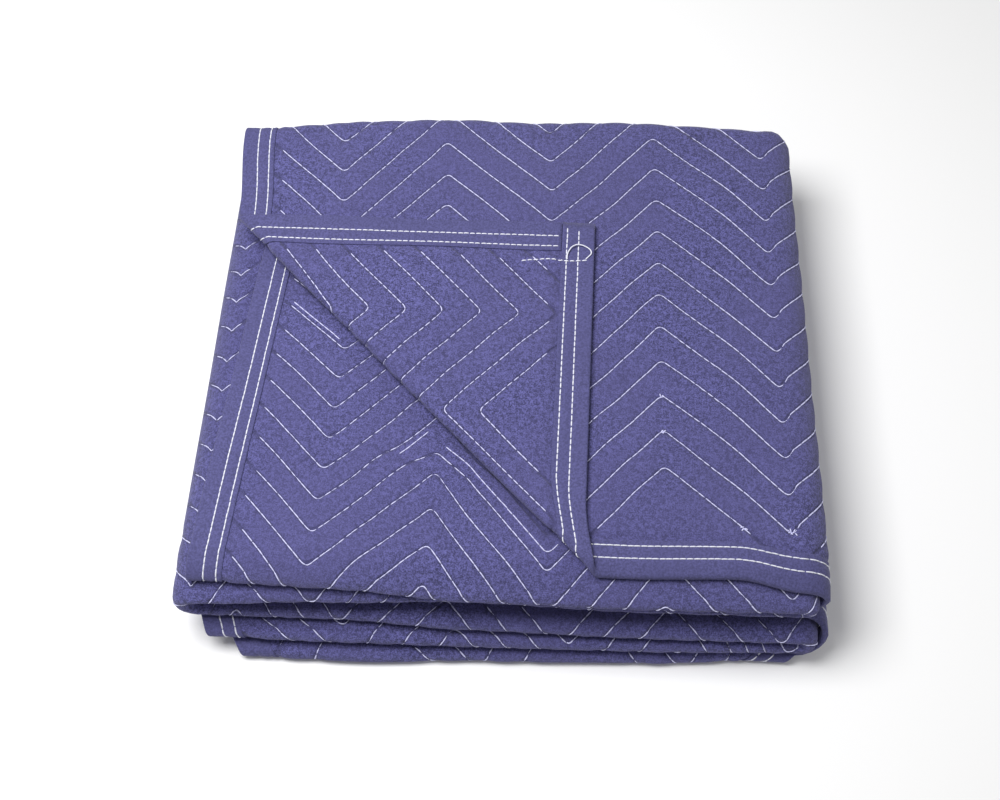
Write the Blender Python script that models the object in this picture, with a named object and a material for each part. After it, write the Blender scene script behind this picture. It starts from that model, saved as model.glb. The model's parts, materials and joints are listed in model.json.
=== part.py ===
"""Quilted moving blanket, folded for storage, with its front left corner turned back.

The blanket is laid out flat first, as a thin quilted panel with four binding strips, in flat
coordinates: u along the length, v across the width and w through the thickness. It is then
folded. Across the width it is folded in three like a letter, and the band that this makes is
folded back and forth in four along its length, so twelve plies lie on each other. The corner
of the top ply is turned over on a diagonal.

Axes of the finished stack: X to the right, Y away from the front, Z up, in metres. The origin
is the middle of the footprint, on the floor.
"""

import math

import bmesh
import bpy
import numpy as np

MM = 0.001

# The flat blanket
WIDTH = 1283 * MM
CLOTH = 4.8 * MM
BINDING_WIDTH = 27 * MM
BINDING_CLOTH = 0.9 * MM
CLEARANCE = 0.4 * MM
SHOULDER = 6 * MM
EDGE_CLOTH = CLOTH - 2 * (BINDING_CLOTH + CLEARANCE)

# The stack
PITCH = 8.6 * MM
TURN = 3 * PITCH
HALF_TURN = TURN / 2
PLIES = 12
TOP_LEVEL = CLOTH / 2 + (PLIES - 2) * PITCH

# Where each of the four runs of the length starts and ends, for the middle one of its plies
TOP_LEFT = -240 * MM
TOP_RIGHT = 230 * MM
LOOP_LEFT = -223 * MM
LOW_RIGHT = 236 * MM
LOW_LEFT = -211 * MM

# How far the two plies under the top one lie to the right of its left edge, front and back
SKEW_FRONT = 9 * MM
SKEW_BACK = 41 * MM
SKEW_TURNS = 110 * MM

# The top ply's left edge leans to the right, away from the back fold
LEAN = 7 * MM
LEAN_STARTS = 90 * MM

# The turned corner, measured along both edges of the top ply
CORNER = 319 * MM
ROLL = 3.3 * MM
FLAP_LEAN = 9 * MM
FLAP_LEAN_STARTS = 45 * MM

# The fold lines across the width, at places along the stack.
# run: which of the four runs, from the top; x: place; edge: the front edge of the outer
# third; front: the front fold of the inner thirds; back: the back fold.
FOLD_LINES = (
    # run, x, edge, front, back
    (0, -240, 0, -10, 415),
    (0, -120, 0, -13, 428),
    (0, -20, 0, -19, 431),
    (0, 90, 0, -20, 432),
    (0, 180, 1, -20, 432),
    (0, 230, -6, -19, 429),
    (1, 230, -8, -18, 425),
    (1, 110, -3, -18, 429),
    (1, -30, -4, -15, 430),
    (1, -130, -6, -19, 429),
    (1, -223, -10, -23, 422),
    (2, -223, -8, -23, 423),
    (2, -120, -6, -23, 428),
    (2, -20, -5, -28, 430),
    (2, 110, -4, -30, 428),
    (2, 236, -10, -30, 422),
    (3, 236, -30, -33, 421),
    (3, 120, -38, -36, 425),
    (3, -20, -41, -37, 428),
    (3, -120, -45, -37, 428),
    (3, -211, -44, -36, 424),
)

# The front margin of the lowest ply is turned under
UNDER = 46 * MM
UNDER_STARTS = (0 * MM, 54 * MM)
LIFT_SLOPE = (62 * MM, 14 * MM)

# How far inside the back fold the inner third ends
END_INSET = 9 * MM

# How the stack settles
FRONT_PRESS = 0.13
SPREAD = 0.03
FRONT_SLOPE = (12 * MM, -23 * MM)
DEPTH = 430 * MM
WAVE = 1.3 * MM
WAVE_LENGTH = 170 * MM

# Mesh steps
RUN_STEPS = (8, 5, 5, 5)
TURN_STEPS = (4, 4, 5)
UNDER_STEPS = 3
BACK_FOLD_STEPS = 4
FRONT_FOLD_STEPS = 4
OUTER_STEPS = 5
INNER_STEPS = 3
NEAR_FOLD = (32 * MM, 66 * MM)
ROLL_STEPS = 5

PANEL_COLOUR = (0.08, 0.078, 0.21, 1)
BINDING_COLOUR = (0.078, 0.076, 0.2, 1)


def smooth(t):
    t = np.clip(t, 0, 1)
    return t * t * (3 - 2 * t)


def eased(x, places, values):
    """Values at places, joined by soft steps."""
    index = np.clip(np.searchsorted(places, x, side="right") - 1, 0, len(places) - 2)
    start = places[index]
    share = smooth((x - start) / (places[index + 1] - start))
    return values[index] + share * (values[index + 1] - values[index])


# Stations: how far along the middle ply, from its left edge at the top of the stack
TURN_LENGTH = math.pi * HALF_TURN
RUN_LENGTHS = (
    TOP_RIGHT - TOP_LEFT,
    TOP_RIGHT - LOOP_LEFT,
    LOW_RIGHT - LOOP_LEFT,
    LOW_RIGHT - LOW_LEFT,
)
RUN_STARTS = tuple(sum(RUN_LENGTHS[:run]) + run * TURN_LENGTH for run in range(4))
RUN_FROM = (TOP_LEFT, TOP_RIGHT, LOOP_LEFT, LOW_RIGHT)
RUN_LEVEL = tuple(TOP_LEVEL - run * TURN for run in range(4))
LENGTH = RUN_STARTS[3] + RUN_LENGTHS[3]


def station(run, x):
    return RUN_STARTS[run] + abs(x - RUN_FROM[run])


FOLD_STATIONS = np.array([station(row[0], row[1] * MM) for row in FOLD_LINES])
FOLD_VALUES = np.array([row[2:] for row in FOLD_LINES]) * MM


def fold_lines(a):
    """(edge, front, back) at stations a: the depths of the front edge and the two folds' centres."""
    edge, front, back = (eased(a, FOLD_STATIONS, FOLD_VALUES[:, k]) for k in range(3))
    return edge, front + PITCH / 2 + CLOTH / 2, back - PITCH - CLOTH / 2


def margin_under(a):
    """How much of the front margin is turned under, at stations a."""
    start, end = UNDER_STARTS
    return UNDER * np.clip((a - RUN_STARTS[3] - start) / (end - start), 0, 1)


def across(a, v, w):
    """The letter fold: (depth, height above the middle ply, skew, creep) of flat points."""
    edge, front, back = fold_lines(a)
    under = margin_under(a)
    edge = edge + under * PITCH / UNDER / 2
    outer = under + back - edge
    low = outer + math.pi * PITCH
    nose = low + back - front
    rise = nose + math.pi * PITCH / 2
    turn = np.clip((under - v) / (PITCH / 2), 0, math.pi)
    curl = PITCH / 2 - w
    past = np.clip(under - v - math.pi * PITCH / 2, 0, None)
    y = np.where(v < under, edge - curl * np.sin(turn) + past, edge + v - under)
    height = PITCH + np.where(v < under, PITCH / 2 - curl * np.cos(turn), w)
    turn = np.clip((v - outer) / PITCH, 0, math.pi)
    radius = PITCH + w
    y = np.where(v > outer, back + radius * np.sin(turn), y)
    height = np.where(v > outer, radius * np.cos(turn), height)
    y = np.where(v > low, back - (v - low), y)
    turn = np.clip((v - nose) / (PITCH / 2), 0, math.pi)
    radius = PITCH / 2 + w
    y = np.where(v > nose, front - radius * np.sin(turn), y)
    height = np.where(v > nose, -PITCH / 2 - radius * np.cos(turn), height)
    reach = (back - END_INSET - front) / (WIDTH - rise)
    y = np.where(v > rise, front + (v - rise) * reach, y)
    height = np.where(v > rise, w, height)
    turned = smooth((v - low) / SKEW_TURNS)
    line = SKEW_FRONT + (SKEW_BACK - SKEW_FRONT) * (y - front) / (back - front)
    skew = np.where(v < low, LEAN * smooth((outer - v) / LEAN_STARTS), turned * line)
    creep = 0.05 + 0.85 * smooth((under + 26 * MM - v) / (56 * MM))
    creep = creep - 0.8 * smooth((v - outer + 60 * MM) / (low - outer + 120 * MM))
    creep = creep + 0.75 * smooth((v - nose + 30 * MM) / (rise - nose + 60 * MM))
    return y, height, skew, creep


def along(a, height, skew, creep):
    """(x, z) of points at stations a, by height above the middle ply of the back and forth fold."""
    start = TOP_LEFT + skew
    x = start + a / RUN_LENGTHS[0] * (TOP_RIGHT - start)
    z = RUN_LEVEL[0] + height
    for run in (1, 2, 3):
        side = 1 if run % 2 else -1
        begins = RUN_STARTS[run] - TURN_LENGTH
        turn = np.clip((a - begins) / HALF_TURN, 0, math.pi)
        radius = HALF_TURN + side * height
        past = a > begins
        x = np.where(past, RUN_FROM[run] + side * radius * np.sin(turn), x)
        z = np.where(past, (RUN_LEVEL[run] + RUN_LEVEL[run - 1]) / 2 + radius * np.cos(turn), z)
        beyond = a - RUN_STARTS[run]
        if run == 3:
            beyond = beyond * (1 - math.pi * PITCH * creep / RUN_LENGTHS[3])
        x = np.where(a > RUN_STARTS[run], RUN_FROM[run] - side * beyond, x)
    return x, z


def corner_depth(a, v):
    """How far points lie past the diagonal on which the corner is turned."""
    return (CORNER - a - v) / math.sqrt(2)


def turn_corner(a, v, w):
    """Flat places and heights of points near the corner, after it is turned over."""
    depth = corner_depth(a, v)
    turn = np.clip(depth / ROLL, 0, math.pi)
    out = (ROLL - w) * np.sin(turn)
    out = np.where(depth > math.pi * ROLL, math.pi * ROLL - depth, out)
    shift = (depth - out) / math.sqrt(2)
    rise = ROLL - (ROLL - w) * np.cos(turn)
    turned = depth > 0
    turned_v = np.where(turned, v + shift, v)
    lean = FLAP_LEAN * (1 - turned_v / CORNER) * smooth(depth / FLAP_LEAN_STARTS)
    return np.where(turned, a + shift - lean, a), turned_v, rise, turned


def settle(x, y, z):
    """The stack slopes down at its front and lies a little uneven. The floor stays flat."""
    slope = smooth((y - FRONT_SLOPE[0]) / (FRONT_SLOPE[1] - FRONT_SLOPE[0]))
    share = np.clip(z / TOP_LEVEL, 0, 1.2)
    lift = smooth((y - LIFT_SLOPE[0]) / (LIFT_SLOPE[1] - LIFT_SLOPE[0]))
    wave = np.sin(2 * math.pi * x / WAVE_LENGTH + 0.8) * np.cos(2 * math.pi * y / WAVE_LENGTH)
    soft = share * share
    top = TOP_LEVEL + PITCH
    raised = z + PITCH * lift * (TOP_LEVEL - z) / top
    z = raised - z * FRONT_PRESS * slope * share + WAVE * soft * wave
    x = x * (1 + SPREAD * (0.5 - y / DEPTH))
    return x, y, z


def folded(flat):
    """Places in the stack of flat points (u, v, w)."""
    a, v, w = flat.T
    turned_a, turned_v, rise, turned = turn_corner(a, v, w)
    y, height, skew, creep = across(a, v, w)
    edge = fold_lines(turned_a)[0]
    y = np.where(turned, edge + turned_v, y)
    height = np.where(turned, PITCH + rise, height)
    skew = np.where(turned, LEAN, skew)
    x, z = along(np.where(turned, turned_a, a), height, skew, creep)
    return np.column_stack(settle(x, y, z))


def columns():
    """Stations of the mesh's lines across the blanket, closer together in the turns."""
    margin = BINDING_WIDTH + CLEARANCE
    stops = [0, margin, margin + SHOULDER]
    for run, steps in enumerate(RUN_STEPS):
        if run == 3:
            stops += list(np.linspace(stops[-1], RUN_STARTS[3] + UNDER_STARTS[1], UNDER_STEPS + 1)[1:])
        first = stops[-1]
        last = RUN_STARTS[run] + RUN_LENGTHS[run] - (margin + SHOULDER if run == 3 else 0)
        stops += list(np.linspace(first, last, steps + 1)[1:])
        if run < 3:
            stops += list(last + np.linspace(0, TURN_LENGTH, TURN_STEPS[run] + 1)[1:])
    return np.array(stops + [LENGTH - margin, LENGTH])


def rows(a):
    """Flat places across the width of the mesh's lines along the blanket, at station a."""
    edge, front, back = fold_lines(a)
    margin = BINDING_WIDTH + CLEARANCE
    under = margin_under(a)
    edge = edge + under * PITCH / UNDER / 2
    outer = under + back - edge
    low = outer + math.pi * PITCH
    nose = low + back - front
    rise = nose + math.pi * PITCH / 2
    last = WIDTH - margin - SHOULDER
    roll = UNDER - math.pi * PITCH / 2
    parts = (
        np.linspace(0, margin, 4),
        np.linspace(max(under - UNDER + roll, margin + 4 * MM), max(under, margin + 10 * MM), 5),
        np.linspace(under, outer, OUTER_STEPS + 1)[2:],
        np.linspace(outer, low, BACK_FOLD_STEPS + 1)[1:],
        np.linspace(low, nose - NEAR_FOLD[1], INNER_STEPS + 1)[1:],
        np.array([nose - NEAR_FOLD[0]]),
        np.linspace(nose, rise, FRONT_FOLD_STEPS + 1),
        np.array([rise + NEAR_FOLD[0]]),
        np.linspace(rise + NEAR_FOLD[1], last, INNER_STEPS + 1),
        np.array([WIDTH - margin, WIDTH]),
    )
    return np.concatenate(parts)


def half_cloth(u, v):
    """Half the panel's thickness: it is squeezed where the binding holds it."""
    inside = min(u, v, LENGTH - u, WIDTH - v)
    share = smooth((inside - BINDING_WIDTH - CLEARANCE) / SHOULDER)
    return EDGE_CLOTH / 2 + share * (CLOTH - EDGE_CLOTH) / 2


def finish(name, mesh, colour, roughness):
    """Cuts the flat mesh where the corner rolls over, folds it and links it as an object."""
    for step in range(ROLL_STEPS + 1):
        depth = math.pi * ROLL * step / ROLL_STEPS
        near = [f for f in mesh.faces if max(x.co.x + x.co.y for x in f.verts) < CORNER * 1.9]
        parts = near + list({e for f in near for e in f.edges})
        parts += list({x for f in near for x in f.verts})
        reach = (CORNER - depth * math.sqrt(2)) / 2
        bmesh.ops.bisect_plane(
            mesh,
            geom=parts,
            dist=0.00002,
            plane_co=(reach, reach, 0),
            plane_no=(1, 1, 0),
        )
    slope = UNDER / (UNDER_STARTS[1] - UNDER_STARTS[0])
    begins, ends = (RUN_STARTS[3] + place for place in UNDER_STARTS)
    for step in range(5):
        near = []
        for face in mesh.faces:
            u = [vert.co.x for vert in face.verts]
            if max(u) > begins + MM and min(u) < ends - MM and face.verts[0].co.y < 2 * UNDER:
                near.append(face)
        parts = near + list({e for f in near for e in f.edges})
        parts += list({x for f in near for x in f.verts})
        late = math.pi * PITCH / 2 * step / 4 / slope
        bmesh.ops.bisect_plane(
            mesh,
            geom=parts,
            dist=0.00002,
            plane_co=(begins + late, 0, 0),
            plane_no=(slope, -1, 0),
        )
    bmesh.ops.triangulate(mesh, faces=mesh.faces[:])
    bmesh.ops.recalc_face_normals(mesh, faces=mesh.faces[:])
    flat = np.array([vert.co for vert in mesh.verts], dtype=float)
    for vert, place in zip(mesh.verts, folded(flat)):
        vert.co = place
    data = bpy.data.meshes.new(name)
    mesh.to_mesh(data)
    mesh.free()
    data.materials.append(cloth_material(name + "_cloth", colour, roughness))
    piece = bpy.data.objects.new(name, data)
    bpy.context.scene.collection.objects.link(piece)
    return piece


def cloth_material(name, colour, roughness):
    material = bpy.data.materials.new(name)
    material.use_nodes = True
    shader = material.node_tree.nodes["Principled BSDF"]
    shader.inputs["Base Color"].default_value = colour
    shader.inputs["Roughness"].default_value = roughness
    shader.inputs["Metallic"].default_value = 0
    return material


def wall(mesh, start, across, far, beside):
    mesh.faces.new((start, across, far))
    mesh.faces.new((start, far, beside))


def quilted_panel():
    """The blanket itself: one thin slab, laid flat, then folded."""
    mesh = bmesh.new()
    across_all = [(u, rows(u)) for u in columns()]
    count = len(across_all[0][1])
    sides = []
    for sign in (1, -1):
        grid = [
            [mesh.verts.new((u, v, sign * half_cloth(u, v))) for v in line]
            for u, line in across_all
        ]
        sides.append(grid)
    top, bottom = sides
    last = len(top) - 1
    for i in range(last):
        for j in range(count - 1):
            for side in sides:
                corners = side[i][j], side[i + 1][j], side[i + 1][j + 1], side[i][j + 1]
                mesh.faces.new(corners[:3])
                mesh.faces.new((corners[0], corners[2], corners[3]))
        for j, one, other in ((0, top, bottom), (count - 1, bottom, top)):
            wall(mesh, one[i][j], other[i][j], other[i + 1][j], one[i + 1][j])
    for i, one, other in ((0, top, bottom), (last, bottom, top)):
        for j in range(count - 1):
            wall(mesh, one[i][j], other[i][j], other[i][j + 1], one[i][j + 1])
    return finish("quilted_panel", mesh, PANEL_COLOUR, 0.95)


def binding_section(fine):
    """The strip's section, as (distance in from the blanket's edge, height) round its U."""
    inner = EDGE_CLOTH / 2 + CLEARANCE
    outer = inner + BINDING_CLOTH
    third = (BINDING_WIDTH + CLEARANCE) / 3
    stops = (BINDING_WIDTH, 2 * third, third) if fine else (BINDING_WIDTH,)
    outside = [(d, outer) for d in stops] + [(-CLEARANCE - BINDING_CLOTH, outer)]
    inside = [(d, inner) for d in stops] + [(-CLEARANCE, inner)]
    lower_outside = [(d, -h) for d, h in reversed(outside)]
    lower_inside = [(d, -h) for d, h in inside]
    return outside + lower_outside + lower_inside + inside[::-1]


def binding(name, place, steps, slant, fine=False):
    """One strip: its section, put at each step along the edge by place(step, distance)."""
    mesh = bmesh.new()
    section = binding_section(fine)
    rings = [
        [mesh.verts.new((*place(step, d), height)) for d, height in section] for step in steps
    ]
    for ring, following in zip(rings, rings[1:]):
        for k in range(len(section)):
            n = (k + 1) % len(section)
            far = k if slant == (section[k][0] < section[n][0]) else n
            near = k + n - far
            mesh.faces.new((ring[near], ring[far], following[far]))
            mesh.faces.new((ring[near], following[far], following[near]))
    mesh.faces.new(rings[0])
    mesh.faces.new(rings[-1][::-1])
    return finish(name, mesh, BINDING_COLOUR, 0.9)


def bindings():
    """Front and back strips run the whole length; the end strips stop short of them."""
    reach = BINDING_WIDTH + CLEARANCE
    front_stops = columns()
    end = CLEARANCE + BINDING_CLOTH
    front_stops[0] -= end
    front_stops[-1] += end
    made = [
        binding("binding_front", lambda u, d: (u, d), front_stops, False, True),
        binding("binding_back", lambda u, d: (u, WIDTH - d), front_stops, True),
    ]
    lines = range(1, len(rows(0)) - 1)
    left = binding("binding_left", lambda j, d: (d, end_row(d, j, reach)), lines, False)
    right = binding(
        "binding_right",
        lambda j, d: (LENGTH - d, end_row(LENGTH - d, j, reach)),
        lines,
        True,
    )
    return made + [left, right]


def end_row(u, j, reach):
    return float(np.clip(rows(u)[j], reach, WIDTH - reach))


def stand_on_origin(pieces):
    """Moves the whole stack so that the origin is under the middle of its footprint."""
    places = [vert.co for piece in pieces for vert in piece.data.vertices]
    low = [min(place[k] for place in places) for k in range(3)]
    high = [max(place[k] for place in places) for k in range(3)]
    for place in places:
        place.x -= (low[0] + high[0]) / 2
        place.y -= (low[1] + high[1]) / 2
        place.z -= low[2]


def main():
    for old in list(bpy.data.objects):
        bpy.data.objects.remove(old, do_unlink=True)
    pieces = [quilted_panel()] + bindings()
    stand_on_origin(pieces)


main()
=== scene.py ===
"""Quilted moving blanket, folded, with its front left corner turned back.

The blanket is made flat, as a quilted panel, four binding strips and the threads that hold
them, in flat coordinates: u along the length, v across the width and w through the
thickness. One map then folds all of them into the stack.
"""

import json
import math

import bmesh
import bpy
import numpy as np
from bpy.props import FloatProperty, FloatVectorProperty, IntProperty, PointerProperty
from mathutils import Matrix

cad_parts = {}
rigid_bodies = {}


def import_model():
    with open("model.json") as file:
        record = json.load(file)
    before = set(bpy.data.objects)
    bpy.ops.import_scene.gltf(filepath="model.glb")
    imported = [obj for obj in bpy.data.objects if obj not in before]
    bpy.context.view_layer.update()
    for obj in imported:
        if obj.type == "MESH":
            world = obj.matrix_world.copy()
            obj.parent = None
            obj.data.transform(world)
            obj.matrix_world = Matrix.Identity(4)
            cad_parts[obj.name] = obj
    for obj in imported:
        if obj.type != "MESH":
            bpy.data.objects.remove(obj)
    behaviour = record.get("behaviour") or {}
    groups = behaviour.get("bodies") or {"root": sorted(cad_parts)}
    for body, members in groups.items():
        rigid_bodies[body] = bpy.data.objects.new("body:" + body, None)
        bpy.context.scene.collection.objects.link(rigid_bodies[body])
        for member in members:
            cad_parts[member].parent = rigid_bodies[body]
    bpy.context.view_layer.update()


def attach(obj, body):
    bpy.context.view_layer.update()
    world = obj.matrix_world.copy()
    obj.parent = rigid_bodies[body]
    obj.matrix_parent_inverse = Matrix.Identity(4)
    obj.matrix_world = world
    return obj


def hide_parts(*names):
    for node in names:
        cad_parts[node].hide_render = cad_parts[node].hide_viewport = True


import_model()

bl_info = {
    "name": "Folded moving blanket",
    "version": (1, 0, 0),
    "blender": (4, 5, 0),
    "location": "View3D > Sidebar > Blanket",
    "description": "Makes a quilted moving blanket, folded with one corner turned back",
    "category": "Object",
}

MM = 0.001

# The flat blanket
WIDTH = 1283 * MM
CLOTH = 4.8 * MM
BINDING_WIDTH = 27 * MM
BINDING_CLOTH = 0.9 * MM
CLEARANCE = 0.4 * MM
SHOULDER = 6 * MM
EDGE_CLOTH = CLOTH - 2 * (BINDING_CLOTH + CLEARANCE)
MARGIN = BINDING_WIDTH + CLEARANCE

# The stack
PITCH = 8.6 * MM
TURN = 3 * PITCH
HALF_TURN = TURN / 2
PLIES = 12
TOP_LEVEL = CLOTH / 2 + (PLIES - 2) * PITCH
TOP_LEFT = -240 * MM
TOP_RIGHT = 230 * MM
LOOP_LEFT = -223 * MM
LOW_RIGHT = 236 * MM
LOW_LEFT = -211 * MM
SKEW_FRONT = 9 * MM
SKEW_BACK = 41 * MM
SKEW_TURNS = 110 * MM
LEAN = 7 * MM
LEAN_STARTS = 90 * MM
CORNER = 319 * MM
ROLL = 3.3 * MM
FLAP_LEAN = 9 * MM
FLAP_LEAN_STARTS = 45 * MM
UNDER = 46 * MM
UNDER_STARTS = (0 * MM, 54 * MM)
LIFT_SLOPE = (62 * MM, 14 * MM)
END_INSET = 9 * MM
FRONT_PRESS = 0.13
SPREAD = 0.03
FRONT_SLOPE = (12 * MM, -23 * MM)
DEPTH = 430 * MM
WAVE = 1.3 * MM
WAVE_LENGTH = 170 * MM
STACK_MIDDLE = (6.1174 * MM, 192.4113 * MM)

# The fold lines across the width, at places along the stack.
# run: which of the four runs, from the top; x: place; edge: the front edge of the outer
# third; front: the front fold of the inner thirds; back: the back fold.
FOLD_LINES = (
    # run, x, edge, front, back
    (0, -240, 0, -10, 415),
    (0, -120, 0, -13, 428),
    (0, -20, 0, -19, 431),
    (0, 90, 0, -20, 432),
    (0, 180, 1, -20, 432),
    (0, 230, -6, -19, 429),
    (1, 230, -8, -18, 425),
    (1, 110, -3, -18, 429),
    (1, -30, -4, -15, 430),
    (1, -130, -6, -19, 429),
    (1, -223, -10, -23, 422),
    (2, -223, -8, -23, 423),
    (2, -120, -6, -23, 428),
    (2, -20, -5, -28, 430),
    (2, 110, -4, -30, 428),
    (2, 236, -10, -30, 422),
    (3, 236, -30, -33, 421),
    (3, 120, -38, -36, 425),
    (3, -20, -41, -37, 428),
    (3, -120, -45, -37, 428),
    (3, -211, -44, -36, 424),
)

# The quilting's columns: where the rows of stitches turn, at places along the stack.
# rise: how far from the front edge the rows run there, beyond where they come nearest it.
QUILT_COLUMNS = (
    # run, x, rise
    (0, -240, 86),
    (0, -150, -4),
    (0, -58, 89),
    (0, 35, -4),
    (0, 127, 90),
    (0, 224, 9),
    (1, 230, 88),
    (1, 96, 2),
    (1, 18, 88),
    (1, -60, 2),
    (1, -138, 88),
    (1, -227, 2),
    (2, -200, 88),
    (2, -120, 2),
    (2, -37, 88),
    (2, 50, 2),
    (2, 137, 88),
    (2, 222, 2),
    (3, 227, 88),
    (3, 146, 2),
    (3, 63, 88),
    (3, -21, 2),
    (3, -106, 88),
    (3, -190, 2),
    (3, -211, 24),
)

# The quilting's rows, at places across the width where the rows come nearest the front edge
QUILT_ROWS = (
    # place, row
    (-1, 0),
    (190, 6),
    (419, 13),
    (885, 30),
    (1019, 35),
    (1283, 45),
)
DRIFT = 18 * MM
DIP = 10 * MM
INNER_FALL = 0.3

# Past the loop's start the rows of the middle third turn once more
LOOP_SWING = (
    # distance along, share
    (-25, 0),
    (4, 1),
    (33, -0.17),
    (65, 0),
)


def smooth(t):
    t = np.clip(t, 0, 1)
    return t * t * (3 - 2 * t)


def eased(x, places, values):
    """Values at places, joined by soft steps."""
    index = np.clip(np.searchsorted(places, x, side="right") - 1, 0, len(places) - 2)
    start = places[index]
    share = smooth((x - start) / (places[index + 1] - start))
    return values[index] + share * (values[index + 1] - values[index])


# Stations: how far along the middle ply, from its left edge at the top of the stack
TURN_LENGTH = math.pi * HALF_TURN
RUN_LENGTHS = (
    TOP_RIGHT - TOP_LEFT,
    TOP_RIGHT - LOOP_LEFT,
    LOW_RIGHT - LOOP_LEFT,
    LOW_RIGHT - LOW_LEFT,
)
RUN_STARTS = tuple(sum(RUN_LENGTHS[:run]) + run * TURN_LENGTH for run in range(4))
RUN_FROM = (TOP_LEFT, TOP_RIGHT, LOOP_LEFT, LOW_RIGHT)
RUN_LEVEL = tuple(TOP_LEVEL - run * TURN for run in range(4))
LENGTH = RUN_STARTS[3] + RUN_LENGTHS[3]


def station(run, x):
    return RUN_STARTS[run] + abs(x - RUN_FROM[run])


FOLD_STATIONS = np.array([station(row[0], row[1] * MM) for row in FOLD_LINES])
FOLD_VALUES = np.array([row[2:] for row in FOLD_LINES]) * MM
COLUMN_STATIONS = np.array([station(row[0], row[1] * MM) for row in QUILT_COLUMNS])
COLUMN_RISES = np.array([row[2] for row in QUILT_COLUMNS]) * MM
ROW_PLACES = np.array([row[0] for row in QUILT_ROWS]) * MM
ROW_NUMBERS = np.array([row[1] for row in QUILT_ROWS], dtype=float)


def fold_lines(a):
    """(edge, front, back) at stations a: depths of the front edge and the two folds' centres."""
    edge, front, back = (eased(a, FOLD_STATIONS, FOLD_VALUES[:, k]) for k in range(3))
    return edge, front + PITCH / 2 + CLOTH / 2, back - PITCH - CLOTH / 2


def margin_under(a):
    """How much of the front margin is turned under, at stations a."""
    start, end = UNDER_STARTS
    return UNDER * np.clip((a - RUN_STARTS[3] - start) / (end - start), 0, 1)


def fold_stops(a):
    """(outer, low, nose, rise): flat places where the back and front folds start and end."""
    edge, front, back = fold_lines(a)
    under = margin_under(a)
    outer = under + back - edge - under * PITCH / UNDER / 2
    low = outer + math.pi * PITCH
    nose = low + back - front
    return outer, low, nose, nose + math.pi * PITCH / 2


def across(a, v, w):
    """The letter fold: (depth, height above the middle ply, skew, creep) of flat points."""
    edge, front, back = fold_lines(a)
    outer, low, nose, rise = fold_stops(a)
    under = margin_under(a)
    edge = edge + under * PITCH / UNDER / 2
    turn = np.clip((under - v) / (PITCH / 2), 0, math.pi)
    curl = PITCH / 2 - w
    past = np.clip(under - v - math.pi * PITCH / 2, 0, None)
    y = np.where(v < under, edge - curl * np.sin(turn) + past, edge + v - under)
    height = PITCH + np.where(v < under, PITCH / 2 - curl * np.cos(turn), w)
    turn = np.clip((v - outer) / PITCH, 0, math.pi)
    radius = PITCH + w
    y = np.where(v > outer, back + radius * np.sin(turn), y)
    height = np.where(v > outer, radius * np.cos(turn), height)
    y = np.where(v > low, back - (v - low), y)
    turn = np.clip((v - nose) / (PITCH / 2), 0, math.pi)
    radius = PITCH / 2 + w
    y = np.where(v > nose, front - radius * np.sin(turn), y)
    height = np.where(v > nose, -PITCH / 2 - radius * np.cos(turn), height)
    reach = (back - END_INSET - front) / (WIDTH - rise)
    y = np.where(v > rise, front + (v - rise) * reach, y)
    height = np.where(v > rise, w, height)
    turned = smooth((v - low) / SKEW_TURNS)
    line = SKEW_FRONT + (SKEW_BACK - SKEW_FRONT) * (y - front) / (back - front)
    skew = np.where(v < low, LEAN * smooth((outer - v) / LEAN_STARTS), turned * line)
    creep = 0.05 + 0.85 * smooth((under + 26 * MM - v) / (56 * MM))
    creep = creep - 0.8 * smooth((v - outer + 60 * MM) / (low - outer + 120 * MM))
    creep = creep + 0.75 * smooth((v - nose + 30 * MM) / (rise - nose + 60 * MM))
    return y, height, skew, creep


def along(a, height, skew, creep):
    """(x, z) of points at stations a, by height above the middle ply of the run."""
    start = TOP_LEFT + skew
    x = start + a / RUN_LENGTHS[0] * (TOP_RIGHT - start)
    z = RUN_LEVEL[0] + height
    for run in (1, 2, 3):
        side = 1 if run % 2 else -1
        begins = RUN_STARTS[run] - TURN_LENGTH
        turn = np.clip((a - begins) / HALF_TURN, 0, math.pi)
        radius = HALF_TURN + side * height
        past = a > begins
        x = np.where(past, RUN_FROM[run] + side * radius * np.sin(turn), x)
        z = np.where(past, (RUN_LEVEL[run] + RUN_LEVEL[run - 1]) / 2 + radius * np.cos(turn), z)
        beyond = a - RUN_STARTS[run]
        if run == 3:
            beyond = beyond * (1 - math.pi * PITCH * creep / RUN_LENGTHS[3])
        x = np.where(a > RUN_STARTS[run], RUN_FROM[run] - side * beyond, x)
    return x, z


def turn_corner(a, v, w):
    """Flat places and heights of points near the corner, after it is turned over."""
    depth = (CORNER - a - v) / math.sqrt(2)
    turn = np.clip(depth / ROLL, 0, math.pi)
    out = (ROLL - w) * np.sin(turn)
    out = np.where(depth > math.pi * ROLL, math.pi * ROLL - depth, out)
    shift = (depth - out) / math.sqrt(2)
    rise = ROLL - (ROLL - w) * np.cos(turn)
    turned = depth > 0
    turned_v = np.where(turned, v + shift, v)
    lean = FLAP_LEAN * (1 - turned_v / CORNER) * smooth(depth / FLAP_LEAN_STARTS)
    return np.where(turned, a + shift - lean, a), turned_v, rise, turned


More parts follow.
